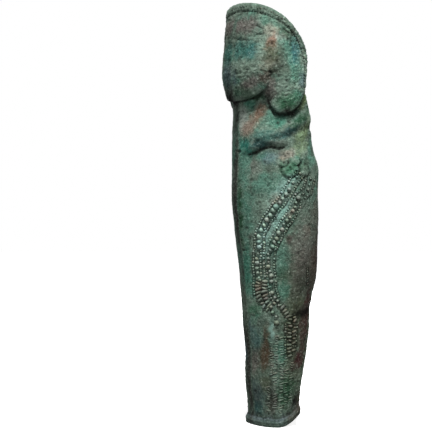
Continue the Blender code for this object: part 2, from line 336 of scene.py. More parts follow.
def bossRings(across, up, share):  # 1 in the crevice round each boss
    rings = bosses["rings"]
    ring = np.zeros_like(across)
    window = (share > 0.0) & (up > rings["from"]) & (up < rings["upTo"])
    a, u = across[window], up[window]
    held = np.zeros_like(a)
    for kind in ("large", "small", "ribs"):
        start, half = rings[kind]
        for atAcross, atUp, size in np.concatenate(rows[kind]):
            near = (np.abs(a - atAcross) < rings["near"]) & (np.abs(u - atUp) < rings["near"])
            if kind == "ribs":
                away = np.abs(u[near] - atUp)
            else:
                # the ring is set lower under each boss, so its dark falls below it as painted shade
                away = np.hypot(a[near] - atAcross, u[near] - atUp + rings["drop"] * size)
            held[near] = np.maximum(held[near], bump(away - size * start, half))
    ring[window] = held
    return ring


rows = bossRows()


# Reliefs on the flank plane, as (across, up) in millimetres. A tongue is (across, up, half across,
# drop, lean, power, height, (full up to, gone from)), a ramp (by, from, over), a ridge (place, half
# width, height) and a dome (across, up, half across, half up, height).
relief = {
    "kneecap": (0, 374, 41, 33, 0, 2.8, 6.2, (362, 408)),
    "outerTongue": (13.8, 356, 17.4, 31, 0.14, 2.2, 6.5, (348, 398)),
    "innerTongue": (15, 357, 15.5, 26, 0, 2.4, 6.5, (348, 395)),
    "calf": (34, 190, 18, 68, 0.1, 3, 4, (205, 262)),
    "cushion": {"edge": 2, "wideOver": 16, "pillow": 15, "step": 0.55, "round": 0.45},
    "softFront": {"wider": (20, 328, 16), "across": 14, "acrossOver": 8.0},
    "softCalf": {"wider": 18, "up": (120, 24), "across": (17, 9)},
    "aboveKnot": {"ridge": (-4, 24, 5.6), "from": (357, 18), "fade": (362, 410)},
    "web": {"across": 0, "half": 15, "soft": 6, "from": (332, 26), "height": 4.4},
    "blend": 3,
    "blendFrom": 2,
    "lip": {"droop": 1.6, "innerShare": 0.5, "width": 5, "from": 1.0},
    # painted shadow under the knee's lip, and painted shade along the tongues' lower edges
    "lipShadow": {"ridge": (-1.2, 1.9, 1), "upTo": 366, "lessByWeb": 0.8},
    "lowerEdgeShade": {"width": 5, "from": 0.8, "upTo": (346, 8)},
    # painted shadow under the calf's lower end
    "calfShadow": {"ridge": (-1.2, 2.2, 1), "upTo": (128, 12)},
    "fold": ((-26, 284), (-15.7, 287), (-9, 290), (-1, 291), (5, 289.6), (12, 291),
             (25, 300), (40, 310)),
    "valley": ((-16, 294), (-1, 297), (17, 303), (40, 313)),
    "foldSize": {"height": 3.3, "steep": 7.5, "softer": (12, 6, 16), "lead": 0.15, "upTo": (5, 40),
                 "lower": (0.5, 6, 18), "from": (-31, 12), "cut": 0.8, "cutUpTo": (4, 12),
                 "cutRidge": (-0.6, 2.6, 1), "hollow": (-6, 12, -1.2), "valley": (0, 7, -1.8)},
    "domes": ((17, 266.5, 8.5, 6.6, 1.9), (32.5, 266, 4, 5.4, 1.1), (9, 274, 4.6, 3.4, 1.2),
              (22, 275, 5, 3.2, 1.2), (21, 101, 3.4, 3.4, 1)),
    "domeShape": {"turns": 2.2, "edge": 1.6, "curl": 0.25, "below": (0.6, 0.2), "out": 0.8},
    "dimples": ((23.4, 265.2), (14.2, 266.2), (18.6, 267.6), (32, 268.4), (32.2, 261.2), (7, 276.2),
                (10.4, 274), (12, 281.2), (29.8, 277.6), (33, 273.2)),
    "dimple": (0, 2, 1),
    "dimpleFlatter": 1.4,
    "thinRidges": (((38.2, 270), (37.2, 262), (33.4, 252), (29.8, 245), (25.6, 240.6)),
                   ((36.4, 243), (30.4, 234), (27.4, 228), (24, 220))),
    "thinRidge": (0, 1.6, 1),
    "cracks": (((-46, 404), (-36, 403), (-25, 400)), ((10, 411), (16, 407), (18, 407), (22, 411)),
               ((-18, 415), (-11, 411)), ((-18, 406), (-11, 406)), ((-4, 369), (-2, 366))),
    "crack": (0, 1.3, 1),
    "crackDepth": 0.6,
    "bandFront": ((26, 268), (16, 246), (4, 232), (-6, 216), (-13, 198), (-16, 182), (-16.5, 165),
                  (-13, 150), (-6, 136), (3, 122)),
    "bandBack": ((38, 258), (28, 242), (20, 228), (12, 212), (4, 200), (-3, 188), (-5.5, 172),
                 (-3, 158), (2, 146), (12, 126), (20, 112), (19, 80), (17, 36)),
    "band": (0, 7, 0.5),
    "ribRoute": ((3, 122), (1, 100), (0.5, 60), (0.5, 16)),
    "rib": (0, 3.6, 1),
    "border": {"width": 7, "narrower": (3.6, -8, 36), "height": 0.9, "step": 2.6, "notch": 3.1,
               "notchDepth": 0.5, "notchCentre": (-12, 384), "notchReach": 52,
               "groove": (0.8, 1.4, 0.5), "grooveShares": (0.2, 0.8), "hoodFrom": (-6, 8)},
    # how deep the ring round each boss sinks the sheet, and how dark it is painted: partly its crevice,
    # partly the shade below the boss
    "bossRing": 0.6,
    "ringShade": 0.9,
    "rimShape": ((4.4, 6.4, 1.7), (11.5, 4, -0.3)),
    "rimLines": ((3.6, 1.6, 1), (6.8, 1.1, 0.9), (9.4, 2.2, 1)),
}


def tongue(across, up, shape, edge):  # its height, steep at its edge and cushioned, and how far inside it
    atAcross, atUp, halfAcross, drop, lean, power, height, fade = shape
    aside = np.abs(across - (atAcross + lean * (up - atUp))) / halfAcross
    down = np.maximum(atUp - up, 0.0) / drop
    inside = (1.0 - (aside**power + down**power) ** (1.0 / power)) * min(halfAcross, drop)
    cushion = relief["cushion"]
    share = unit(inside / cushion["pillow"])
    wide = unit((edge - cushion["edge"]) / cushion["wideOver"])  # a wide edge rounds up without a crease
    rounded = (1.0 - wide) * np.sqrt(share * (2.0 - share)) + wide * smooth(share)
    height = height * (cushion["step"] * crossing(inside, edge) + cushion["round"] * rounded)
    return height * fading(up, *fade), inside


def softMax(first, second):
    reach = relief["blend"]
    near = unit(1.0 - np.abs(first - second) / reach)
    least = smooth(np.minimum(first, second) / relief["blendFrom"])
    return np.maximum(first, second) + near**2 * reach / 4.0 * least


def besideRoute(across, up, route):  # distance to a route, plus above it and minus below
    nearest = np.full(np.shape(across), np.inf)
    side = np.ones(np.shape(across))
    for (a0, u0), (a1, u1) in zip(route, route[1:]):
        length = math.hypot(a1 - a0, u1 - u0)
        t = unit(((across - a0) * (a1 - a0) + (up - u0) * (u1 - u0)) / length**2)
        gap = np.hypot(across - a0 - t * (a1 - a0), up - u0 - t * (u1 - u0))
        above = np.where((a1 - a0) * (up - u0) - (u1 - u0) * (across - a0) >= 0.0, 1.0, -1.0)
        side = np.where(gap < nearest, above, side)
        nearest = np.minimum(gap, nearest)
    return nearest * side


def kneeRelief(share, across, up, y):  # kneecap, side tongues, the web that joins them, and their lip
    edge, soft = relief["cushion"]["edge"], relief["softFront"]
    frontEdge = edge + ramp(up, soft["wider"]) * smooth((soft["across"] - across) / soft["acrossOver"])
    kneecap, capInside = tongue(np.abs(y), up, relief["kneecap"], edge)
    outer, outerInside = tongue(across, up, relief["outerTongue"], frontEdge)
    inner, innerInside = tongue(across, up, relief["innerTongue"], edge)
    inside = np.maximum(capInside, np.where(share > 0.0, outerInside, innerInside))
    above, web = relief["aboveKnot"], relief["web"]
    raised = rising(up, *above["from"])
    joined = ridge(across, above["ridge"]) * raised * fading(up, *above["fade"])
    webbed = smooth((web["half"] - np.abs(across - web["across"])) / web["soft"]) * (share > 0.0)
    webbed = webbed * rising(up, *web["from"]) * (1.0 - raised)
    knee = softMax(np.maximum(kneecap, np.where(share > 0.0, outer, inner)), joined)
    knee = softMax(knee, web["height"] * webbed)
    lip, under, lowerEdgeShade = relief["lip"], relief["lipShadow"], relief["lowerEdgeShade"]
    lipped = crossing(inside, edge) * (1.0 - smooth(inside / lip["width"])) * (knee > lip["from"])
    # painted shadow under the lip, and painted shade along the tongues' lower edges
    lipShadow = ridge(inside, under["ridge"]) * (up < under["upTo"])
    lipShadow *= 1.0 - under["lessByWeb"] * smooth(webbed * 2.0)
    edgeShade = (1.0 - smooth(inside / lowerEdgeShade["width"])) * (knee > lowerEdgeShade["from"])
    return knee, lipped, lipShadow, edgeShade * (1.0 - rising(up, *lowerEdgeShade["upTo"]))


def borderRelief(across, up, hoodDistance):  # the notched border along the hood's edge, and its groove
    border = relief["border"]
    middle = border["width"] / 2
    past = hoodDistance - border["width"] + ramp(across, border["narrower"])
    centreAcross, centreUp = border["notchCentre"]
    steps = np.arctan2(up - centreUp, across - centreAcross) * border["notchReach"] / border["notch"]
    notches = 0.5 + 0.5 * np.cos(2.0 * np.pi * steps)
    bordered = 1.0 - crossing(past, border["step"])
    raised = border["height"] * bordered - border["notchDepth"] * notches * bump(past + middle, middle)
    even, notched = border["grooveShares"]
    groove = ridge(past, border["groove"]) * (even + notched * notches)
    onHood = rising(up - leg["kneeStart"], *border["hoodFrom"])
    return (raised - groove) * onHood, groove * onHood, bordered * onHood


def calfRelief(across, up):
    soft, under = relief["softCalf"], relief["calfShadow"]
    behind = rising(across, *soft["across"])
    wider = soft["wider"] * np.maximum(rising(up, *soft["up"]), 1.0 - behind)
    calf, inside = tongue(across, up, relief["calf"], relief["cushion"]["edge"] + wider)
    # the second value is the painted shadow under the calf's lower end
    return calf, ridge(inside, under["ridge"]) * (1.0 - rising(up, *under["upTo"])) * behind


def foldRelief(across, up):  # the sheet bulges, turns under along the fold and sinks below it
    size = relief["foldSize"]
    away = besideRoute(across, up, relief["fold"])
    window = rising(across, *size["from"])
    bulge = size["height"] * smooth(away / (size["steep"] + ramp(across, size["softer"])) + size["lead"])
    bulge = bulge * (1.0 - rising(away, *size["upTo"])) * window * (1.0 - ramp(across, size["lower"]))
    # the fold's line is cut into the sheet and also painted dark as its shadow
    line = ridge(away, size["cutRidge"]) * (window * (1.0 - rising(across, *size["cutUpTo"])))
    valley = ridge(besideRoute(across, up, relief["valley"]), size["valley"])
    return bulge + ridge(away, size["hollow"]) * window + valley - size["cut"] * line, line


def marksRelief(across, up):  # domes with curled dimples, thin ridges, cracks and holes
    shape = relief["domeShape"]
    raised, dark = np.zeros_like(across), np.zeros_like(across)
    for atAcross, atUp, halfAcross, halfUp, height in relief["domes"]:
        a, u = across - atAcross, up - atUp
        inside = (1.0 - np.hypot(a / halfAcross, u / halfUp)) * min(halfAcross, halfUp)
        curl = 0.5 + 0.5 * np.cos(inside * shape["turns"] + np.arctan2(u, a))
        curled = 1.0 - shape["curl"] + shape["curl"] * curl
        raised = np.maximum(raised, height * crossing(inside, shape["edge"]) * curled)
        # each dome is painted darker round its lower side, as shade
        spread, start = shape["below"]
        below = smooth((a / halfAcross - u / halfUp) * spread + start)
        dark = np.maximum(dark, bump(inside + shape["out"], shape["edge"]) * below)
    for route in relief["thinRidges"]:
        raised = np.maximum(raised, ridge(besideRoute(across, up, route), relief["thinRidge"]))
    for atAcross, atUp in relief["dimples"]:
        away = np.hypot(across - atAcross, (up - atUp) * relief["dimpleFlatter"])
        dark = np.maximum(dark, ridge(away, relief["dimple"]))
    for route in relief["cracks"]:
        dark = np.maximum(dark, ridge(besideRoute(across, up, route), relief["crack"]))
    return raised, dark


def bandRelief(across, up):  # low swellings under the rows of bosses
    front, back, rib = (np.abs(besideRoute(across, up, relief[name]))
                        for name in ("bandFront", "bandBack", "ribRoute"))
    toBand = np.minimum(front, back)
    return np.maximum(ridge(toBand, relief["band"]), ridge(rib, relief["rib"])), toBand


def sheetRelief(share, up, lift, x, y):
    across = flankAcross(x, y)
    backAcross = flankAcross(*legPoint(np.ones_like(share), up))
    decorated = smooth(share / leg["ridgeBlend"])
    knee, lip, lipShadow, lowerEdgeShade = kneeRelief(share, across, up, y)
    hood, groove, border = borderRelief(across, up, hoodEdgeDistance(across, up, backAcross))
    calf, calfShadow = calfRelief(across, up)
    folds, foldShadow = foldRelief(across, up)
    marks, cracked = marksRelief(across, up)
    bands, toBand = bandRelief(across, up)
    ring = bossRings(across, up, share)
    ankle, rim = (sum(ridge(up - lift, line) for line in relief[name]) for name in ("rimShape", "rimLines"))
    total = knee + hood + ankle + calf * decorated
    total += (folds + np.maximum(bands, marks)) * decorated
    total -= (relief["crackDepth"] * cracked + relief["bossRing"] * ring) * decorated
    # painted shadow along the fold's line, under the calf and under the knee's lip, painted shade below each
    # boss and round the domes' lower sides, and the dark of cracks and dimples
    dark = np.maximum.reduce((foldShadow * decorated, cracked * decorated, calfShadow * decorated,
                              relief["ringShade"] * ring, lipShadow))
    return {"total": total, "lip": lip, "across": across, "toBand": toBand, "decorated": decorated,
            "groove": groove, "border": border, "rim": rim, "lowerEdgeShade": lowerEdgeShade, "dark": dark}


def outward(points):
    normals = np.cross(np.gradient(points, axis=1), np.gradient(points, axis=0))
    return normals / np.linalg.norm(normals, axis=2, keepdims=True)


def uneven(points, size, seed, octaves):  # smooth random values from about -1 to 1 with that grain size
    shift = Vector((seed * 17.3, seed * 5.1, seed * 9.7))  # each seed reads another part of the noise
    flat = points.reshape(-1, 3) / size
    values = [noise.fractal(Vector(p) + shift, 1.0, 2.0, octaves) for p in flat.tolist()]
    return np.array(values).reshape(points.shape[:-1])


def average(layers):
    return sum(layers) / len(layers)


def windowed(values, reaches, combine):  # combines each value with its neighbours along rows, then columns
    for axis, reach in enumerate(reaches):
        padded = np.concatenate([np.take(values, [0] * reach, axis), values,
                                 np.take(values, [-1] * reach, axis)], axis)
        starts = range(2 * reach + 1)
        values = combine([np.take(padded, range(k, k + values.shape[axis]), axis) for k in starts])
    return values


def gridFaces(index, turned=False):
    quads = np.stack((index[:-1, :-1], index[:-1, 1:], index[1:, 1:], index[1:, :-1]), axis=2).reshape(-1, 4)
    return (quads[:, ::-1] if turned else quads).tolist()


def zipEdge(longLoop, shortLoop, step):  # joins a fine edge to a coarser one
    faces = []
    for i in range(len(shortLoop) - 1):
        middle = i * step + step // 2
        for j in range(i * step, (i + 1) * step):
            faces.append((longLoop[j], longLoop[j + 1], shortLoop[i] if j < middle else shortLoop[i + 1]))
        faces.append((longLoop[middle], shortLoop[i + 1], shortLoop[i]))
    return faces


def edgeLoop(wall, side):  # an edge of the grid, in the order that turns the strip's faces outwards
    return {"bottom": wall[0, ::-1], "top": wall[-1], "left": wall[:, 0], "right": wall[::-1, -1]}[side]


# Patina: ground colours that drift into each other, then stains laid over them. A stain is
# (half, across, up, half across, half up, tone, strength) and then its lean in degrees, if any:
# half 1 is the decorated one, -1 the plain one, 0 both.
patina = {
    "tones": {
        "greyGreen": "#687a6c", "sage": "#74887a", "verdigris": "#588070", "moss": "#55665a",
        "paleGreen": "#8cb4a8", "bloom": "#a8b4aa", "seaGreen": "#407664", "emerald": "#306448",
        "deepGreen": "#224830", "brightTeal": "#20786a", "teal": "#306860", "deepTeal": "#1e4646",
        "seaBlue": "#34686e", "slateBlue": "#56707c", "slate": "#404e50", "steel": "#68767a",
        "olive": "#4a4e3c", "yellowGreen": "#6c8054", "sand": "#949082", "dustyPink": "#8c7668",
        "mauve": "#6a625e", "terracotta": "#7a5a4a", "umber": "#4a4038", "rust": "#443020",
        "maroon": "#3c2020", "shinShade": "#2e2c28", "sootAndShadow": "#1c1e1a", "cast": "#6c6450",
    },
    "ground": ("greyGreen", "verdigris", "sage", "moss"),
    "groundDrift": ((22.0, 1, 3), (13.2, 2, 3)),  # noises are (grain in millimetres, seed, octaves)
    "spread": 0.4,
    "wobble": ((7.0, 3, 3), (7.0, 4, 3)),
    "wobbleBy": 3.0,  # how far a stain's edge wanders, across and up
    "speck": (2.8, 13, 2),
    "speckBy": 0.22,
    "fullTo": 0.3,
    "softness": 1.0,
    "halfBlend": (0.05, 0.3),
    "darkest": 0.004,
    "border": "moss",
    "borderMix": 0.8,
    "inside": {"tone": "cast", "mix": (0.45, 0.55), "mottle": 0.45, "drift": (16.0, 21, 4), "darkest": 0.01},
    # Some stains are painted shade, shadow or highlight, each marked where it stands; the rest are the
    # patina's own colours.
    "stains": (
        (0, 0, 50, 80, 90, "moss", 0.8), (0, 24, 110, 20, 120, "olive", 0.7),
        (1, -29, 416, 19, 11, "mauve", 0.85), (-1, -32, 418, 12, 11, "mauve", 0.8),
        (-1, -14, 412, 12, 8, "umber", 0.4), (0, -39, 405, 9, 7, "moss", 0.7),
        (1, -32, 391, 19, 12, "teal", 0.8), (-1, -34, 390, 9, 13, "teal", 0.8),
        (-1, -16, 384, 7, 9, "verdigris", 0.6), (1, -21, 389, 6, 8, "seaBlue", 0.3),
        (1, -10, 420, 8, 7, "seaGreen", 0.6), (1, -3, 408, 9, 8, "sand", 0.6, -25),
        (1, -1, 399, 6, 12, "dustyPink", 0.8, -25), (1, -3, 393, 6, 6, "cast", 0.6),
        (1, -2, 398, 4, 8, "terracotta", 0.55, -25), (1, 8, 401, 7, 5, "bloom", 0.5, -20),
        (1, 14, 405, 10, 9, "olive", 0.6, -30), (1, -2, 380, 11, 17, "olive", 0.9, 4),
        (1, 6, 374, 8, 15, "umber", 0.5), (1, -3, 368, 3, 3, "sootAndShadow", 0.9), (1, -6, 374, 6, 8, "sand", 0.3),
        (0, 21, 388, 9, 15, "teal", 0.6), (0, 22, 381, 5, 15, "seaBlue", 0.6),
        (0, 22, 364, 8, 14, "seaGreen", 0.45), (1, 9, 368, 8, 17, "moss", 0.75),
        (1, 27, 352, 5, 9, "slateBlue", 0.5), (1, -40, 364, 7, 13, "slateBlue", 0.6),
        (-1, -32, 368, 9, 15, "slateBlue", 0.6), (1, -36, 372, 10, 8, "moss", 0.6),
        (1, -24, 372, 10, 9, "greyGreen", 0.7), (1, -20, 357, 12, 7, "mauve", 0.8, 35),
        (1, -7, 363, 7, 7, "umber", 0.9, 35), (1, -31, 349, 12, 7, "deepGreen", 0.6, -10),
        (1, -18, 343, 12, 5, "deepGreen", 0.85, 10), (1, -3, 349, 6, 12, "mauve", 0.8, -10),
        (1, 9, 352, 9, 8, "sage", 0.6), (1, 14, 338, 13, 8, "emerald", 0.75),
        # the first stain here is painted shade on the side tongue's lower slope, the second the painted
        # shadow under it
        (1, 14, 329, 15, 9, "deepGreen", 0.95), (1, 14, 325, 14, 6, "sootAndShadow", 0.85),
        # the first stain here is the painted shadow under the kneecap's corner
        (1, -43, 343, 9, 10, "sootAndShadow", 1.0), (1, -24, 335, 8, 6, "seaGreen", 0.9),
        # the first stain here and the second on the next line are partly a pale bloom and partly painted
        # light on a face turned from the lamps
        (1, -33, 320, 8, 15, "bloom", 0.9), (1, -15, 324, 8, 11, "terracotta", 0.75, -35),
        (1, -25, 311, 9, 11, "dustyPink", 0.8, -45), (1, -37, 322, 6, 15, "bloom", 1.0),
        (1, 1, 326, 8, 8, "verdigris", 0.6), (1, 3, 316, 13, 8, "seaGreen", 0.8, 25),
        # the second stain here is painted shade along the valley's upper flank
        (1, 33, 332, 9, 6, "yellowGreen", 0.7, 50), (1, 27, 314, 14, 7, "deepGreen", 0.9, 25),
        # the first stain here is painted shade along the valley's upper flank
        (1, 12, 304, 18, 5, "deepTeal", 0.85, 20), (1, -8, 302, 14, 6, "teal", 0.7, 10),
        (1, 31, 300, 14, 8, "yellowGreen", 0.6, 44), (1, -29, 290, 10, 12, "brightTeal", 0.95),
        # the second stain here is painted shade on the bulge's underside above the fold
        (1, -31, 276, 7, 8, "seaGreen", 0.7), (1, -12, 293, 12, 6, "deepTeal", 0.9, 8),
        # the first stain here is the painted shadow along the fold's line
        (1, 0, 294, 14, 4, "sootAndShadow", 0.5, 8), (1, 30, 286, 9, 7, "yellowGreen", 0.45, 45),
        # the first stain here is partly a tan patina and partly a painted highlight on the ledge below the
        # fold
        (1, 14, 283, 11, 6, "sand", 0.85, 10), (1, 8, 278, 4, 3, "terracotta", 0.4),
        (1, -3, 280, 13, 8, "seaBlue", 0.35, 20), (1, -4, 279, 10, 6, "steel", 0.5, 20),
        (1, -19, 271, 9, 9, "mauve", 0.4), (1, -31, 268, 7, 26, "verdigris", 0.9),
        (1, 18, 268, 14, 9, "emerald", 0.85), (1, 34, 266, 6, 10, "deepGreen", 0.5),
        (1, -4, 246, 18, 16, "verdigris", 0.6), (1, 8, 246, 7, 24, "paleGreen", 0.7, -38),
        (1, 8, 219, 8, 26, "paleGreen", 0.75, -30), (1, -8, 212, 7, 20, "paleGreen", 0.5, -20),
        (1, -14, 226, 13, 18, "sage", 0.6), (1, -11, 192, 8, 22, "paleGreen", 0.6),
        (1, -28, 222, 5, 40, "seaGreen", 0.5), (1, 8, 178, 9, 20, "verdigris", 0.75),
        (1, 10, 158, 8, 12, "deepGreen", 0.45), (1, 31, 228, 11, 20, "moss", 0.8),
        (1, 41, 212, 6, 24, "umber", 0.6), (1, 33, 200, 5, 9, "terracotta", 0.6),
        (1, 17, 196, 4, 7, "maroon", 0.8), (1, 2, 236, 6, 8, "dustyPink", 0.45, -38),
        (1, 17, 222, 4, 7, "dustyPink", 0.4, -38), (1, 31, 172, 17, 44, "moss", 0.8),
        (1, 28, 158, 13, 32, "umber", 0.55), (1, 29, 188, 13, 34, "mauve", 0.45),
        # the two stains here down the back edge are partly a reddish-brown crust and partly painted shade
        # where the sheet turns away
        (1, 41, 160, 7, 40, "umber", 0.9), (1, 46, 170, 4, 50, "maroon", 0.8),
        (1, -27, 165, 6, 34, "seaGreen", 0.9), (1, -8, 162, 8, 13, "sage", 0.7),
        (1, -12, 140, 9, 13, "umber", 0.6), (1, -13, 148, 6, 7, "dustyPink", 0.4),
        (1, -19, 122, 8, 8, "emerald", 0.6), (1, 10, 142, 7, 12, "seaGreen", 0.6),
        # the second stain here, down the back edge, is partly a reddish-brown crust and partly painted shade
        # where the sheet turns away
        (1, 24, 118, 9, 15, "olive", 0.8), (1, 34, 104, 6, 44, "maroon", 0.95, -3),
        (1, -24, 104, 4, 9, "slateBlue", 0.4), (1, -18, 90, 6, 14, "seaBlue", 0.35),
        (1, -20, 66, 8, 16, "umber", 0.5), (1, -21, 68, 6, 14, "mauve", 0.5), (1, -7, 92, 4, 18, "rust", 0.7),
        (1, -8, 72, 8, 18, "rust", 0.85), (1, -1, 102, 3, 12, "paleGreen", 0.6),
        (1, 9, 78, 7, 16, "seaGreen", 0.6), (1, 20, 92, 8, 24, "olive", 0.8),
        (1, 27, 62, 7, 11, "maroon", 0.95), (1, 31, 95, 4, 24, "umber", 0.8),
        # the first stain here is painted shade along the shin, low down
        (1, -26, 62, 4, 60, "shinShade", 0.7), (1, -16, 34, 9, 16, "slate", 0.7),
        (1, -18, 18, 9, 8, "deepTeal", 0.8), (1, -1, 26, 7, 16, "umber", 0.6),
        (1, -7, 46, 8, 10, "olive", 0.7), (1, 14, 36, 10, 20, "deepGreen", 0.85),
        (1, -1, 30, 5, 20, "sootAndShadow", 0.55), (1, 24, 18, 6, 9, "sootAndShadow", 0.95), (0, 0, 5, 80, 9, "slate", 0.5),
        (0, 0, 1, 80, 2, "greyGreen", 0.6), (0, 0, 8, 80, 1.5, "steel", 0.6), (1, 22, 5, 10, 8, "umber", 0.6),
        (1, 30, 12, 6, 14, "umber", 0.8), (1, -35, 216, 4, 62, "deepGreen", 0.95, 2),
        # the first stain here is the painted shadow under the kneecap's lip on the plain half; the second is
        # painted shade along the shin, where the plain half turns away
        (-1, -28, 343, 10, 12, "sootAndShadow", 1.0), (-1, -36, 200, 13, 200, "shinShade", 0.9),
        # the first stain here is painted shade along the lower shin
        (-1, -20, 60, 8, 90, "shinShade", 0.9), (-1, -24, 286, 8, 22, "seaGreen", 0.7, 15),
        (-1, -21, 232, 7, 18, "moss", 0.8, -20), (-1, -24, 176, 8, 20, "verdigris", 0.6, 12),
        (-1, -19, 118, 8, 18, "greyGreen", 0.7, -15), (-1, 24, 330, 14, 40, "verdigris", 0.8),
        (-1, -6, 300, 16, 22, "sage", 0.8, 20), (-1, 14, 262, 14, 18, "sand", 0.5, -20),
        (-1, 30, 210, 10, 50, "umber", 0.8), (-1, -4, 222, 12, 26, "seaGreen", 0.8, 10),
        (-1, 16, 165, 12, 24, "sage", 0.7), (-1, 0, 130, 10, 22, "dustyPink", 0.5),
        (-1, 20, 108, 9, 20, "emerald", 0.7), (-1, -8, 78, 9, 18, "slateBlue", 0.6),
        (-1, 12, 48, 12, 16, "olive", 0.7), (-1, 24, 24, 8, 12, "umber", 0.8),
        (-1, 12, 384, 12, 12, "sand", 0.4), (-1, 20, 350, 10, 8, "emerald", 0.7),
        (-1, -12, 408, 14, 7, "greyGreen", 0.7, 10),
    ),
}


def toneColour(name):  # a tone's "#rrggbb" as linear colour
    code = patina["tones"][name]
    parts = np.array([int(code[k:k + 2], 16) for k in (1, 3, 5)]) / 255.0
    return np.where(parts <= 0.04045, parts / 12.92, ((parts + 0.055) / 1.055) ** 2.4)


def patinaColour(points, share, across, up):
    first, second = (crossing(uneven(points, *drift) / patina["spread"], 2.0)[..., None]
                     for drift in patina["groundDrift"])
    a, b, c, d = (toneColour(tone) for tone in patina["ground"])
    colour = (a * (1 - first) + b * first) * (1 - second) + (c * (1 - first) + d * first) * second
    strayAcross, strayUp = (uneven(points, *wobble) * patina["wobbleBy"] for wobble in patina["wobble"])
    specks = uneven(points, *patina["speck"]) * patina["speckBy"]
    blend, start = patina["halfBlend"]
    for half, atAcross, atUp, halfAcross, halfUp, tone, strength, *lean in patina["stains"]:
        turn = math.radians(sum(lean))
        a = across - atAcross + strayAcross
        u = up - atUp + strayUp
        along = a * math.cos(turn) + u * math.sin(turn)
        upright = u * math.cos(turn) - a * math.sin(turn)
        reach = np.hypot(along / halfAcross, upright / halfUp) + specks
        mask = 1.0 - rising(reach, patina["fullTo"], patina["softness"])
        if half:
            mask = mask * smooth(share * half / blend + start)
        colour = colour + (toneColour(tone) - colour) * (mask * strength)[..., None]
    return np.clip(colour, patina["darkest"], 1.0)


# The hammered and corroded skin, in millimetres.
skin = {
    "ripples": ((0.45, (32.0, 5, 2)), (0.22, (9.0, 6, 2))),  # height, noise
    "grain": (2.6, 7, 2),
    "pits": (4.5, 8, 2),
    "pitsFrom": 0.32,
    "pitDepth": 0.8,
    "rough": 0.26,
    "kneeRougher": (0.38, 320.0, 30.0),  # a ramp
    "ankleRougher": (0.16, 90.0, 40.0),
    "borderRougher": 0.35,
    "trueEdge": (3.0, 4.0),  # the edge it stands on stays true to here, and the skin starts over this height
    "flatUpTo": 0.1,
    "lowestSkin": 0.4,
    "innerWindow": (4, 3),
    "innerIn": 0.25,
}


def sheetWalls():
    share, up, lift = sheetGrid()
    shaped = np.maximum(up, lift + leg["lipFlat"])
    x, y = legPoint(share, shaped)
    plain = np.stack((x, y, up), axis=2)
    normals = outward(plain)
    form = sheetRelief(share, shaped, lift, x, y)

    free = rising(up - lift, *skin["trueEdge"])
    ankleRougher, *ankle = skin["ankleRougher"]
    rough = skin["rough"] + ramp(up, skin["kneeRougher"]) + ankleRougher * (1.0 - rising(up, *ankle))
    rough += skin["borderRougher"] * form["border"]
    ripple = sum(height * uneven(plain, *hammering) for height, hammering in skin["ripples"])
    grain = uneven(plain, *skin["grain"])
    pits = unit(-uneven(plain, *skin["pits"]) - skin["pitsFrom"])
    outer = form["total"] + (ripple + rough * grain - skin["pitDepth"] * pits) * free
    inner = form["total"] + (ripple - skin["innerIn"]) * free
    inner = windowed(inner, skin["innerWindow"], np.minimum.reduce) - leg["sheet"]
    outerWall = plain + normals * outer[..., None]
    innerWall = plain + normals * inner[..., None]
    droop, innerShare = relief["lip"]["droop"], relief["lip"]["innerShare"]
    outerWall[..., 2] -= droop * form["lip"]
    innerWall[..., 2] -= droop * innerShare * windowed(form["lip"], skin["innerWindow"], average)
    flat = up - lift < leg["lipFlat"] + skin["flatUpTo"]
    for wall in (outerWall, innerWall):
        wall[..., 2] = np.where(flat, up, np.maximum(wall[..., 2], skin["lowestSkin"]))
        wall[0, :, :2] = wall[1, :, :2]

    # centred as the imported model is, and kept inside its box
    bare = (plain + normals * form["total"][..., None]).reshape(-1, 3)
    middle = (bare.min(axis=0) + bare.max(axis=0)) / 2
    low, high = np.array(cadBox[0]) / mm, np.array(cadBox[1]) / mm
    shift = np.array((*((np.array(cadBox[0]) + np.array(cadBox[1])) / 2 / mm)[:2], 0.0))
    shift -= np.array((*middle[:2], bare[:, 2].min()))
    form.update(share=share, up=up, lift=lift, plain=plain, pits=pits, grain=grain, ripple=ripple)
    return np.clip(outerWall + shift, low, high), np.clip(innerWall + shift, low, high), form


# How strongly each thing darkens, as dirt in hollows and as painted shade, and brightens on heights.
wearAndPaintedLight = {
    "ripple": 0.5, "grain": 0.25, "window": (5, 5), "sunk": 0.7, "sunkDepth": 0.9,
    "underBands": (0.0, 5.0, 0.2),
    "pits": 1.6, "dark": 0.9, "rim": 0.6, "lowerEdgeShade": 0.55, "groove": 0.7, "grooveDepth": 0.4,
    "grainSteep": 1.2, "grainFrom": 0.3, "grainDark": 0.5, "grainBright": 0.7,
    "proud": 0.3, "proudHeight": 0.8,
    "nearBlackFrom": 0.03, "nearBlackOver": 0.02,
}


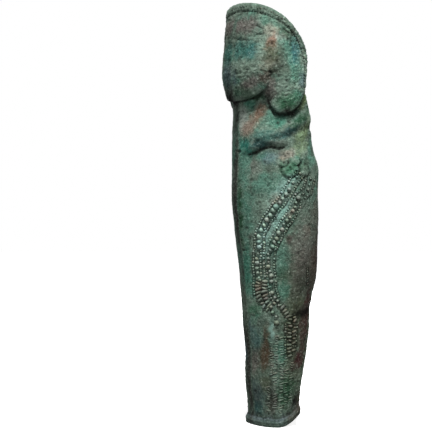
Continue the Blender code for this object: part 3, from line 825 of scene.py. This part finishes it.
def shadeDirtWearAndHighlight(form, colour):
    height = form["total"] + wearAndPaintedLight["ripple"] * form["ripple"] + wearAndPaintedLight["grain"] * form["grain"]
    proud = height - windowed(height, wearAndPaintedLight["window"], average)
    # the darkening mask: dirt in hollows, pits and grooves, with painted shade where the surface sits below
    # its surroundings, under the fold, calf and knee's lip, below each boss and on the tongues' lower edges
    hollow = wearAndPaintedLight["sunk"] * smooth(-proud / wearAndPaintedLight["sunkDepth"])
    hollow += ridge(form["toBand"], wearAndPaintedLight["underBands"]) * form["decorated"]
    hollow += sum(wearAndPaintedLight[name] * form[name] for name in ("pits", "dark", "rim", "lowerEdgeShade"))
    hollow += wearAndPaintedLight["groove"] * smooth(form["groove"] / wearAndPaintedLight["grooveDepth"])
    grain = form["grain"] * wearAndPaintedLight["grainSteep"]
    hollow += wearAndPaintedLight["grainDark"] * smooth(-grain - wearAndPaintedLight["grainFrom"])
    worn = wearAndPaintedLight["grainBright"] * smooth(grain - wearAndPaintedLight["grainFrom"])
    worn += wearAndPaintedLight["proud"] * smooth(proud / wearAndPaintedLight["proudHeight"])
    nearBlack = smooth((wearAndPaintedLight["nearBlackFrom"] - colour.mean(axis=2)) / wearAndPaintedLight["nearBlackOver"])
    return unit(hollow + nearBlack), unit(worn * (1.0 - nearBlack))  # near-black places, crust and painted shadow alike, aren't brightened


def setAttribute(body, name, *parts):  # a colour where a point has three values, else a mask
    if parts[0].ndim == 3:
        parts = [np.concatenate((part, np.ones((*part.shape[:2], 1))), axis=2) for part in parts]
        layer, key = body.attributes.new(name, "FLOAT_COLOR", "POINT"), "color"
    else:
        layer, key = body.attributes.new(name, "FLOAT", "POINT"), "value"
    layer.data.foreach_set(key, np.concatenate([part.ravel() for part in parts]).astype(np.float32))


def addObject(name, body):
    thing = bpy.data.objects.new(name, body)
    bpy.context.scene.collection.objects.link(thing)
    return thing


def buildSheet():
    outerWall, innerWall, form = sheetWalls()
    stepR, stepC = mesh["innerEveryRow"], mesh["innerEveryColumn"]
    coarse = innerWall[::stepR, ::stepC]
    fineIndex = np.arange(form["share"].size).reshape(form["share"].shape)
    coarseIndex = np.arange(coarse.size // 3).reshape(coarse.shape[:2]) + fineIndex.size
    faces = gridFaces(fineIndex)
    outerFaces = len(faces)
    faces += gridFaces(coarseIndex, turned=True)
    for side, step in (("bottom", stepC), ("top", stepC), ("left", stepR), ("right", stepR)):
        faces += zipEdge(edgeLoop(fineIndex, side).tolist(), edgeLoop(coarseIndex, side).tolist(), step)
    points = np.concatenate((outerWall.reshape(-1, 3), coarse.reshape(-1, 3))) * mm
    body = bpy.data.meshes.new("greave")
    body.from_pydata(points.tolist(), [], faces)
    body.update()
    slots = np.ones(len(faces), np.int32)
    slots[:outerFaces] = 0
    body.polygons.foreach_set("material_index", slots)
    body.shade_smooth()

    # what the finish reads: colour, a darkening mask of dirt in hollows and painted shade, and a brightening
    # mask on heights
    colour = patinaColour(form["plain"], form["share"], form["across"], form["up"] - form["lift"])
    colour += (toneColour(patina["border"]) - colour) * patina["borderMix"] * form["border"][..., None]
    inside = patina["inside"]
    own, plainTone = inside["mix"]
    innerColour = own * colour[::stepR, ::stepC] + plainTone * toneColour(inside["tone"])
    drift = uneven(form["plain"][::stepR, ::stepC], *inside["drift"])
    innerColour *= 1.0 + inside["mottle"] * drift[..., None]
    setAttribute(body, "patina", colour, np.clip(innerColour, inside["darkest"], 1.0))
    for name, values in zip(("hollow", "worn"), shadeDirtWearAndHighlight(form, colour)):
        setAttribute(body, name, values, np.zeros(coarseIndex.shape))
    sheet = addObject("greave", body)
    print("sheet made:", len(faces), "faces")
    return sheet, outerWall, form


def addNode(tree, kind, settings=None, out=0, **sockets):  # fills a new node's sockets, gives one output
    node = tree.nodes.new(kind if "Node" in kind else tree.bl_idname[:-4] + kind)
    for key, value in (settings or {}).items():
        setattr(node, key, value)
    for key, value in sockets.items():
        socket = node.inputs[int(key[1:]) if key[0] == "i" and key[1:].isdigit() else key.replace("_", " ")]
        if isinstance(value, bpy.types.NodeSocket):
            tree.links.new(value, socket)
        else:
            socket.default_value = value
    return node.outputs[out] if len(node.outputs) else None


def addMaterial(name):
    material = bpy.data.materials.new(name)
    material.use_nodes = True
    return material, partial(addNode, material.node_tree)


def addGroup(name, kind, inputs, outputs):  # an input's default tells its kind, or a word does without one
    tree = bpy.data.node_groups.new(name, kind)
    kinds = {int: "Int", float: "Float", tuple: "Color"}
    for label, value in inputs.items():
        bare = isinstance(value, str)
        socketKind = "NodeSocket" + (value if bare else kinds[type(value)])
        socket = tree.interface.new_socket(label, in_out="INPUT", socket_type=socketKind)
        if not bare:
            socket.default_value = value
    for label, socketKind in outputs.items():
        tree.interface.new_socket(label, in_out="OUTPUT", socket_type="NodeSocket" + socketKind)
    given, ends = tree.nodes.new("NodeGroupInput").outputs, tree.nodes.new("NodeGroupOutput").inputs
    return tree, partial(addNode, tree), given, ends


def addMath(add, operation, a, b, *more, clamp=False):
    sockets = {f"i{k}": value for k, value in enumerate((a, b, *more))}
    return add("ShaderNodeMath", {"operation": operation, "use_clamp": clamp}, **sockets)


def addProduct(add, a, b, clamp=False):
    return addMath(add, "MULTIPLY", a, b, clamp=clamp)


def addMix(add, amount, a, b, blend="MIX"):
    return add("ShaderNodeMix", {"data_type": "RGBA", "blend_type": blend}, out=2, i0=amount, i6=a, i7=b)


def addScaled(add, vector, scale):
    return add("ShaderNodeVectorMath", {"operation": "SCALE"}, i0=vector, Scale=scale)


def addRange(add, value, start, end, low=0.0, high=1.0, curve="LINEAR"):
    return add("ShaderNodeMapRange", {"interpolation_type": curve}, Value=value,
               From_Min=start, From_Max=end, To_Min=low, To_Max=high)


def addNoise(add, scale, detail, roughness):
    place = add("TexCoord", out="Object")
    return add("TexNoise", out="Fac", Vector=place, Scale=scale, Detail=detail, Roughness=roughness)


# The bronze's finish: tones by name, grains in noise cells a metre, noises as (detail, roughness),
# ranges as (from, to, low, high).
finish = {
    "pale": "bloom", "dark": "deepGreen", "crevice": "sootAndShadow", "highlightAndWearTint": "bloom", "ownHue": 0.5,
    "highlightAndWearScale": 1.7, "shadeAndDirtScale": 0.15,
    "mottleGrain": 420.0, "mottle": 0.9, "broader": 0.3, "broadRange": (0.3, 0.7, 0.72, 1.28),
    "broadNoise": (3.0, 0.6), "smallNoise": (4.0, 0.65), "crustNoise": (4.0, 0.7), "creviceNoise": (3.0, 0.5),
    "paleFrom": (0.54, 0.72), "darkFrom": (0.47, 0.30), "paleScale": 1.9, "darkScale": 0.3, "mottleHue": 0.6,
    "corrosion": {"Grain": 620.0, "Pits": 0.7}, "pitScale": 0.8, "bump": 1.0, "bumpDepth": 0.6,
    "dirtAndShadeMask": {"Grain": 500.0, "Amount": 0.9}, "creviceRange": (0.3, 0.7, 0.6, 1.3),
    "wearAndPaintedLight": 0.65, "beadWearAndHighlight": 0.5, "rough": (0.1, 0.7, 0.85, 0.55), "metallic": 0.06, "specular": 0.1,
    "innerPale": "sand", "innerDark": "sootAndShadow", "innerMottle": 0.6,
}


def makeMottle():  # small drifts of patina colour over a painted ground
    tree, add, given, out = addGroup("patinaMottle", "ShaderNodeTree", {
        "Colour": (0.1, 0.2, 0.16, 1), "Pale": (0.4, 0.5, 0.45, 1), "Dark": (0.03, 0.04, 0.035, 1),
        "Grain": 300.0, "Strength": 0.5}, {"Colour": "Color"})
    broad = addNoise(add, addProduct(add, given["Grain"], finish["broader"]), *finish["broadNoise"])
    small = addNoise(add, given["Grain"], *finish["smallNoise"])
    level = addRange(add, broad, *finish["broadRange"])
    shade = add("CombineColor", i0=level, i1=level, i2=level)
    shaded = addMix(add, 1.0, given["Colour"], shade, "MULTIPLY")
    colour = addMix(add, given["Strength"], given["Colour"], shaded)
    for tinted, reach, scale in (("Pale", "paleFrom", "paleScale"), ("Dark", "darkFrom", "darkScale")):
        mask = addRange(add, small, *finish[reach], curve="SMOOTHSTEP")
        own = addScaled(add, given["Colour"], finish[scale])  # keeps part of the ground's own hue
        tone = addMix(add, finish["mottleHue"], given[tinted], own)
        colour = addMix(add, addProduct(add, mask, given["Strength"]), colour, tone)
    tree.links.new(colour, out["Colour"])
    return tree


def makeCorrosion():  # height of corroded metal: crust, grains and fine pits
    tree, add, given, out = addGroup(
        "corrosionGrain", "ShaderNodeTree", {"Grain": 700.0, "Pits": 0.5}, {"Height": "Float"})
    crust = addNoise(add, given["Grain"], *finish["crustNoise"])
    cells = add("TexVoronoi", {"feature": "SMOOTH_F1"}, out="Distance",
                Vector=add("TexCoord", out="Object"),
                Scale=addProduct(add, given["Grain"], finish["pitScale"]))
    pits = addProduct(add, cells, given["Pits"])
    tree.links.new(addMath(add, "SUBTRACT", crust, pits), out["Height"])
    return tree


def makeCrevice():  # mask of dirt held in hollows and of painted shade, broken up by noise
    tree, add, given, out = addGroup(
        "creviceShadeAndDirt", "ShaderNodeTree", {"Hollow": 0.0, "Grain": 400.0, "Amount": 0.8}, {"Mask": "Float"})
    level = addRange(add, addNoise(add, given["Grain"], *finish["creviceNoise"]), *finish["creviceRange"])
    held = addProduct(add, given["Hollow"], level)
    tree.links.new(addProduct(add, held, given["Amount"], clamp=True), out["Mask"])
    return tree


def makeBronze(name, groups, pale, dark, mottle, wearAndHighlightShare):
    material, add = addMaterial(name)
    link, inputs = material.node_tree.links.new, material.node_tree.nodes["Principled BSDF"].inputs
    pale, dark, worn, crevice = ((*toneColour(tone), 1.0) for tone in (
        pale, dark, finish["highlightAndWearTint"], finish["crevice"]))
    painted = add("Attribute", {"attribute_name": "patina"}, out="Color")
    shadeAndDirtAttribute, wearAndHighlightAttribute = (add("Attribute", {"attribute_name": mask}, out="Fac")
                            for mask in ("hollow", "worn"))
    mottled = add("Group", {"node_tree": groups["mottle"]}, out="Colour", Colour=painted, Pale=pale,
                  Dark=dark, Grain=finish["mottleGrain"], Strength=mottle)
    dirtAndShadeMask = add("Group", {"node_tree": groups["crevice"]}, out="Mask", Hollow=shadeAndDirtAttribute, **finish["dirtAndShadeMask"])
    height = add("Group", {"node_tree": groups["corrosion"]}, out="Height", **finish["corrosion"])
    # brightened toward a pale tint where the brightening mask lies, with painted highlights on the beads, and
    # darkened toward near black by dirt and painted shade
    brighter = addMix(add, finish["ownHue"], worn, addScaled(add, painted, finish["highlightAndWearScale"]))
    darker = addMix(add, finish["ownHue"], crevice, addScaled(add, painted, finish["shadeAndDirtScale"]))
    colour = addMix(add, addProduct(add, wearAndHighlightAttribute, wearAndHighlightShare), mottled, brighter)
    link(addMix(add, dirtAndShadeMask, colour, darker), inputs["Base Color"])
    link(addRange(add, height, *finish["rough"]), inputs["Roughness"])
    bumpy = add("Bump", Strength=finish["bump"], Distance=finish["bumpDepth"] * mm, Height=height)
    link(bumpy, inputs["Normal"])
    inputs["Metallic"].default_value = finish["metallic"]
    inputs["Specular IOR Level"].default_value = finish["specular"]
    return material


def onSheet(half, route):  # places on the sheet for (across, up) points of one half
    offRidge, neighbours, blend = 0.001, 4, 0.02
    mask = form["share"] * half > offRidge
    across, up, places = form["across"][mask], form["up"][mask], outerWall[mask]
    found = []
    for a, u in np.array(route)[:, :2]:
        gap = (across - a) ** 2 + (up - u) ** 2
        near = np.argpartition(gap, neighbours)[:neighbours]
        weight = 1.0 / (gap[near] + blend)
        found.append((places[near] * weight[:, None]).sum(axis=0) / weight.sum())
    return np.array(found)


def hoodRoute():  # follows the hood's free edge at a set distance inside it
    edge = bosses["hoodEdge"]
    route = []
    for angle in np.radians(np.linspace(*edge["angles"])):
        side, rise = math.cos(angle), math.sin(angle)
        near, far = 0.0, edge["reach"]
        for _ in range(edge["halvings"]):
            middle = (near + far) / 2
            across, up = np.array(middle * side), np.array(edge["centreUp"] + middle * rise)
            backAcross = flankAcross(*legPoint(np.array(1.0), up))
            inside = hoodEdgeDistance(across, up, backAcross) > edge["in"]
            near, far = (middle, far) if inside else (near, middle)
        route.append((near * side, edge["centreUp"] + near * rise))
    return route


def makeBead(sides, rings):  # a raised bead with a skirt that sinks into the sheet
    around = circle(sides)
    places = [(radius * x, radius * y, height) for radius, height in rings for x, y in around]
    places.append((0.0, 0.0, 1.0))
    loops = [[ring * sides + k for k in (*range(sides), 0)] for ring in range(len(rings))]
    faces = [(low[k], low[k + 1], high[k + 1], high[k])
             for low, high in zip(loops, loops[1:]) for k in range(sides)]
    faces += [(loops[-1][k], loops[-1][k + 1], len(places) - 1) for k in range(sides)]
    faces.append(tuple(range(sides))[::-1])
    body = bpy.data.meshes.new("bead")
    body.from_pydata(places, [], faces)
    body.shade_smooth()
    rise = np.array([height for _, _, height in places])
    below = np.array([x for _ in rings for x, _ in around] + [0.0])  # rows run down a bead's own X
    # paints shade on each bead's lower side and a highlight on its top, along with dirt and wear
    for name, (start, byRise, byBelow, strength) in bosses["wearAndPaintedLight"].items():
        setAttribute(body, name, smooth(start + byRise * rise + byBelow * below) * strength)
    return bpy.data.objects.new("bead", body)


def makeBeadTree():  # stands beads on the sheet along rows, sized by each row's own radius
    tree, add, given, ends = addGroup("beadRows", "GeometryNodeTree", {
        "Rows": "Geometry", "Sheet": "Object", "Bead": "Object", "Width": 1.0, "Height": 0.8, "Jitter": 0.15,
        "Wander": 0.0003, "Twist": 0.0, "Seed": 1, "Finish": "Material"}, {"Geometry": "Geometry"})
    sheetIn, beadIn = (add("ObjectInfo", {"transform_space": "RELATIVE"}, out="Geometry",
                           Object=given[label]) for label in ("Sheet", "Bead"))
    points = add("CurveToPoints", {"mode": "EVALUATED"}, out="Points", Curve=given["Rows"])
    tangent = points.node.outputs["Tangent"]

    # each bead stands on the sheet, a little astray
    nearest = add("Proximity", {"target_element": "FACES"}, out="Position", i0=sheetIn)
    random = partial(add, "FunctionNodeRandomValue", Seed=given["Seed"])
    stray = random({"data_type": "FLOAT_VECTOR"}, i0=(-1.0, -1.0, -1.0))
    placed = add("SetPosition", Geometry=points, Position=nearest,
                 Offset=addScaled(add, stray, given["Wander"]))

    # takes the sheet's colour, in its own shade
    painted = add("InputNamedAttribute", {"data_type": "FLOAT_COLOR"}, out="Attribute", Name="patina")
    colour = add("SampleNearestSurface", {"data_type": "FLOAT_COLOR"}, out="Value", Mesh=sheetIn,
                 Value=painted)
    darkest, palest = bosses["shade"]
    shade = random({"data_type": "FLOAT_VECTOR"}, i0=darkest, i1=palest)
    colour = add("ShaderNodeVectorMath", {"operation": "MULTIPLY"}, i0=colour, i1=shade)
    coloured = add("StoreNamedAttribute", {"data_type": "FLOAT_COLOR", "domain": "POINT"},
                   Geometry=placed, Name="patina", Value=colour)

    # turned along its row and away from the sheet, and a little askew
    normal = add("SampleNearestSurface", {"data_type": "FLOAT_VECTOR"}, out="Value", Mesh=sheetIn,
                 Value=add("InputNormal"))
    upright = add("FunctionNodeAlignRotationToVector", {"axis": "Z"}, Vector=normal)
    turned = add("FunctionNodeAlignRotationToVector", {"axis": "X", "pivot_axis": "Z"}, Rotation=upright,
                 Vector=tangent)
    chance = random({"data_type": "FLOAT"}, out=1, i2=-1.0, i3=1.0)
    askew = add("ShaderNodeCombineXYZ", Z=addProduct(add, chance, given["Twist"]))
    turned = add("FunctionNodeRotateRotation", {"rotation_space": "LOCAL"}, i0=turned,
                 i1=add("FunctionNodeEulerToRotation", i0=askew))

    spread = addMath(add, "MULTIPLY_ADD", chance, given["Jitter"], 1.0)
    size = addProduct(add, add("InputRadius"), spread)
    width, height = (addProduct(add, size, given[label]) for label in ("Width", "Height"))
    stood = add("InstanceOnPoints", Points=coloured, Instance=beadIn, Rotation=turned,
                Scale=add("ShaderNodeCombineXYZ", X=size, Y=width, Z=height))
    solid = add("RealizeInstances", Geometry=stood)
    tree.links.new(add("SetMaterial", Geometry=solid, Material=given["Finish"]), ends[0])
    return tree


def makeBeads(name, routes, bead, tree, finishUsed):
    width, height, twist, seed = bosses["kinds"][name]
    curve = bpy.data.curves.new(name, "CURVE")
    curve.dimensions = "3D"
    for half, route in routes:
        places = onSheet(half, route) * mm
        spline = curve.splines.new("POLY")
        spline.points.add(len(places) - 1)
        spline.points.foreach_set("co", np.concatenate((places, np.ones((len(places), 1))), axis=1).ravel())
        spline.points.foreach_set("radius", np.ascontiguousarray(route[:, 2]) * mm)
    holder = addObject(name, curve)
    maker = holder.modifiers.new("bead rows", "NODES")
    maker.node_group = tree
    sockets = {item.name: item.identifier for item in tree.interface.items_tree if item.in_out == "INPUT"}
    for label, value in {"Sheet": sheet, "Bead": bead, "Finish": finishUsed, "Width": width, "Height": height,
                         "Jitter": bosses["jitter"], "Wander": bosses["wander"] * mm, "Twist": twist,
                         "Seed": seed}.items():
        maker[sockets[label]] = value
    graph = bpy.context.evaluated_depsgraph_get()
    made = bpy.data.meshes.new_from_object(holder.evaluated_get(graph), depsgraph=graph)
    holder.modifiers.clear()
    bpy.data.objects.remove(holder)
    places = np.empty(len(made.vertices) * 3)
    made.vertices.foreach_get("co", places)
    places = np.clip(places.reshape(-1, 3), cadBox[0], cadBox[1])
    made.vertices.foreach_set("co", places.ravel())
    made.name = name
    piece = addObject(name, made)
    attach(piece, "root")
    print(name, "made:", len(made.polygons), "faces")


groups = {"mottle": makeMottle(), "corrosion": makeCorrosion(), "crevice": makeCrevice()}
patinated, innerBronze, beadBronze = (
    makeBronze(name, groups, finish[pale], finish[dark], finish[mottle], wearAndHighlightShare)
    for name, pale, dark, mottle, wearAndHighlightShare in (
        ("patinated bronze", "pale", "dark", "mottle", finish["wearAndPaintedLight"]),
        ("bronze inside", "innerPale", "innerDark", "innerMottle", 0.0),
        ("bronze beads", "pale", "dark", "mottle", finish["beadWearAndHighlight"])))
sheet, outerWall, form = buildSheet()
sheet.data.materials.append(patinated)
sheet.data.materials.append(innerBronze)
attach(sheet, "root")
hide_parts("greave_shell")

largeBead = makeBead(bosses["largeSides"], bosses["largeRings"])
smallBead = makeBead(bosses["smallSides"], bosses["smallRings"])
beadTree = makeBeadTree()
plainRows = filled(bosses["plainRoutes"], "plain")
hoodRow = filled((hoodRoute(),), "hood")[0]
for name, kindRows, bead in (
        ("large_beads", [(1, row) for row in rows["large"]], largeBead),
        ("small_beads", [(1, row) for row in rows["small"]], smallBead),
        ("cross_ribs", [(1, row) for row in rows["ribs"]], largeBead),
        ("low_ticks", [(1, row) for row in rows["ticks"]], smallBead),
        ("plain_side_beads", [(-1, row) for row in plainRows], largeBead),
        ("hood_beads", [(1, hoodRow), (-1, hoodRow)], smallBead)):
    makeBeads(name, kindRows, bead, beadTree, beadBronze)
print("beads ready")


studio = {
    "turn": 30.0, "distance": 1.25, "aside": 0.05312, "height": 0.2197, "lens": 98.22, "sensor": 36.0,
    "floorRadius": 6.0, "floorSides": 64, "floorTones": (0.8, 0.3),  # as seen and as felt by light
    "floorGlow": (0.04, 0.2, 0.6, 1.0),  # from and to, in metres from the middle, and how strong
    "white": 1.0, "ambient": 0.12,
    "lampsAim": 0.22,
    "lamps": (  # name, azimuth, elevation, distance, size, power
        ("key", -24.0, 66.0, 1.9, 0.35, 64.0),
        ("camera fill", -25.0, 12.0, 2.0, 0.6, 4.5),
        ("back", 150.0, 28.0, 2.2, 2.0, 34.0),
    ),
}


def aimed(direction):
    return direction.to_track_quat("-Z", "Y").to_euler()


def makeCamera():
    turn = math.radians(studio["turn"])
    look = Vector((math.sin(turn), math.cos(turn), 0.0))
    right = Vector((math.cos(turn), -math.sin(turn), 0.0))
    lens = bpy.data.cameras.new("camera")
    lens.lens = studio["lens"]
    lens.sensor_width = studio["sensor"]
    camera = addObject("camera", lens)
    camera.location = Vector((0, 0, studio["height"])) - right * studio["aside"] - look * studio["distance"]
    camera.rotation_euler = aimed(look)
    bpy.context.scene.camera = camera


def showAndFeel(add, seen, felt, end):  # the camera sees one shader, and every other ray feels the other
    isCamera = add("LightPath", out="Is Camera Ray")
    add(end, Surface=add("MixShader", i0=isCamera, i1=felt, i2=seen))


def makeFloor():
    body = bpy.data.meshes.new("floor")
    radius, sides = studio["floorRadius"], studio["floorSides"]
    body.from_pydata([(radius * x, radius * y, 0.0) for x, y in circle(sides)], [], [list(range(sides))])
    floor = addObject("floor", body)
    material, add = addMaterial("pale floor")
    material.node_tree.nodes.clear()
    away = add("VectorMath", {"operation": "LENGTH"}, out="Value",
               i0=add("TexCoord", out="Object"))
    glow = add("Emission", Strength=addRange(add, away, *studio["floorGlow"], curve="SMOOTHSTEP"))
    seen, felt = (add("BsdfDiffuse", Color=(tone, tone, tone, 1)) for tone in studio["floorTones"])
    showAndFeel(add, add("AddShader", i0=seen, i1=glow), felt, "OutputMaterial")
    body.materials.append(material)


def makeLight():
    world = bpy.data.worlds.new("studio")
    bpy.context.scene.world = world
    world.use_nodes = True
    world.node_tree.nodes.clear()
    add = partial(addNode, world.node_tree)
    seen, felt = (add("Background", Color=(1, 1, 1, 1), Strength=studio[strength])
                  for strength in ("white", "ambient"))
    showAndFeel(add, seen, felt, "OutputWorld")
    aim = Vector((0.0, 0.0, studio["lampsAim"]))
    for name, azimuth, elevation, distance, size, power in studio["lamps"]:
        side, up = math.radians(azimuth), math.radians(elevation)
        toward = Vector((math.sin(side) * math.cos(up), -math.cos(side) * math.cos(up), math.sin(up)))
        lamp = bpy.data.lights.new(name, "AREA")
        lamp.size = size
        lamp.energy = power
        lamp.use_shadow = name != "back"
        light = addObject(name, lamp)
        light.location = aim + toward * distance
        light.rotation_euler = aimed(-toward)


makeCamera()
makeFloor()
makeLight()
bpy.context.scene.view_settings.view_transform = "Standard"
print("studio ready")
